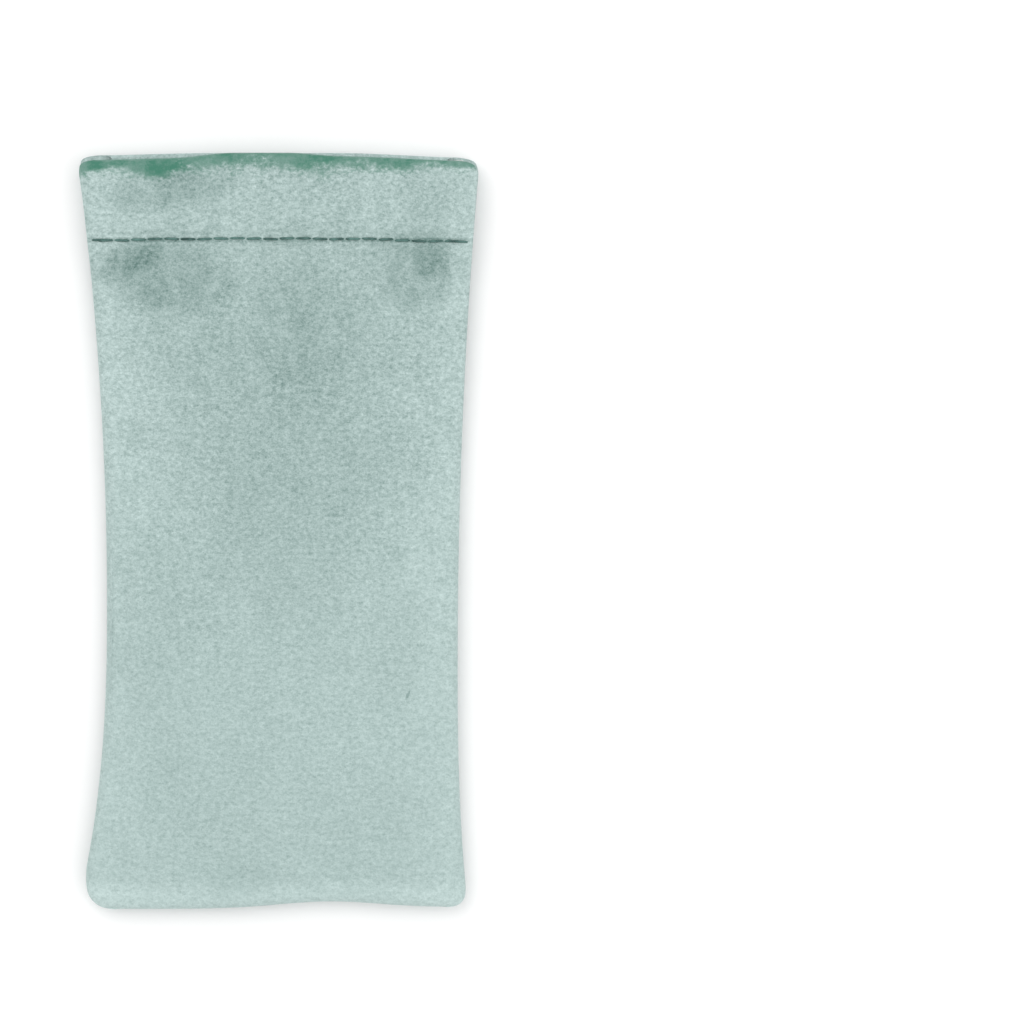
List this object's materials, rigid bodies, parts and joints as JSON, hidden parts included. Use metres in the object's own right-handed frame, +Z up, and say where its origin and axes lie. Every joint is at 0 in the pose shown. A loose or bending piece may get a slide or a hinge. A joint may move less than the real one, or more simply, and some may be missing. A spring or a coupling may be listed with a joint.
{
  "type": "soft pouch glasses case",
  "caption": "Soft velvet pouch for glasses, sewn along the sides and the base, whose mouth is squeezed open and sprung shut by hinged steel leaves in stitched casings.",
  "frame": {"origin": "under the middle of the back face, on the surface that the pouch lies on", "axes": "+X across the pouch, +Y from the base seam to the mouth, +Z up out of the front face"},
  "size_m": [0.09, 0.17, 0.0092],
  "materials": {
    "velvet": "short pile with a soft sheen, mint green, darker where the pile is brushed",
    "lining": "plain smooth weave, pale grey green",
    "thread": "twisted polyester sewing thread, dark green",
    "spring_steel": "cold rolled, lightly brushed along its length"
  },
  "bodies": {
    "back_middle": {"back_panel_middle": "velvet", "back_lining_middle": "lining", "back_casing_middle": "velvet", "back_leaf_middle": "spring_steel", "back_casing_stitches_middle": "thread", "base_seam": "velvet", "base_stitches": "thread"},
    "back_left": {"back_panel_left": "velvet", "back_lining_left": "lining", "back_casing_left": "velvet", "back_leaf_left": "spring_steel", "back_casing_stitches_left": "thread", "left_hinge_pin": "spring_steel", "left_side_seam": "velvet", "left_side_stitches": "thread"},
    "back_right": {"back_panel_right": "velvet", "back_lining_right": "lining", "back_casing_right": "velvet", "back_leaf_right": "spring_steel", "back_casing_stitches_right": "thread", "right_hinge_pin": "spring_steel", "right_side_seam": "velvet", "right_side_stitches": "thread"},
    "front_middle": {"front_panel_middle": "velvet", "front_lining_middle": "lining", "front_casing_middle": "velvet", "front_leaf_middle": "spring_steel", "front_casing_stitches_middle": "thread"},
    "front_left": {"front_panel_left": "velvet", "front_lining_left": "lining", "front_casing_left": "velvet", "front_leaf_left": "spring_steel", "front_casing_stitches_left": "thread"},
    "front_right": {"front_panel_right": "velvet", "front_lining_right": "lining", "front_casing_right": "velvet", "front_leaf_right": "spring_steel", "front_casing_stitches_right": "thread"}
  },
  "joints": [
    {"name": "mouth_open", "type": "hinge", "parent": "back_middle", "child": "front_middle", "pos_m": [0, -0.0818, 0.0046], "axis": [1, 0, 0], "range_deg": [0, 11.5], "stiffness_Nm_per_rad": 0.6, "springref_deg": -8.59},
    {"name": "front_left_fold", "type": "hinge", "parent": "front_middle", "child": "front_left", "pos_m": [-0.0402, -0.0818, 0.0046], "axis": [-0.2009, -0.9796, 0], "range_deg": [0, 30.5]},
    {"name": "front_right_fold", "type": "hinge", "parent": "front_middle", "child": "front_right", "pos_m": [0.0402, -0.0818, 0.0046], "axis": [-0.2009, 0.9796, 0], "range_deg": [0, 30.5]},
    {"name": "back_left_fold", "type": "hinge", "parent": "back_middle", "child": "back_left", "pos_m": [-0.0402, -0.0818, 0.0046], "axis": [0.2009, 0.9796, 0], "range_deg": [0, 30.5]},
    {"name": "back_right_fold", "type": "hinge", "parent": "back_middle", "child": "back_right", "pos_m": [0.0402, -0.0818, 0.0046], "axis": [0.2009, -0.9796, 0], "range_deg": [0, 30.5]}
  ],
  "couplings": [
    {"joint": "front_left_fold", "follows": "mouth_open", "ratio": 2.6009},
    {"joint": "front_right_fold", "follows": "mouth_open", "ratio": 2.6009},
    {"joint": "back_left_fold", "follows": "mouth_open", "ratio": 2.6009},
    {"joint": "back_right_fold", "follows": "mouth_open", "ratio": 2.6009}
  ]
}
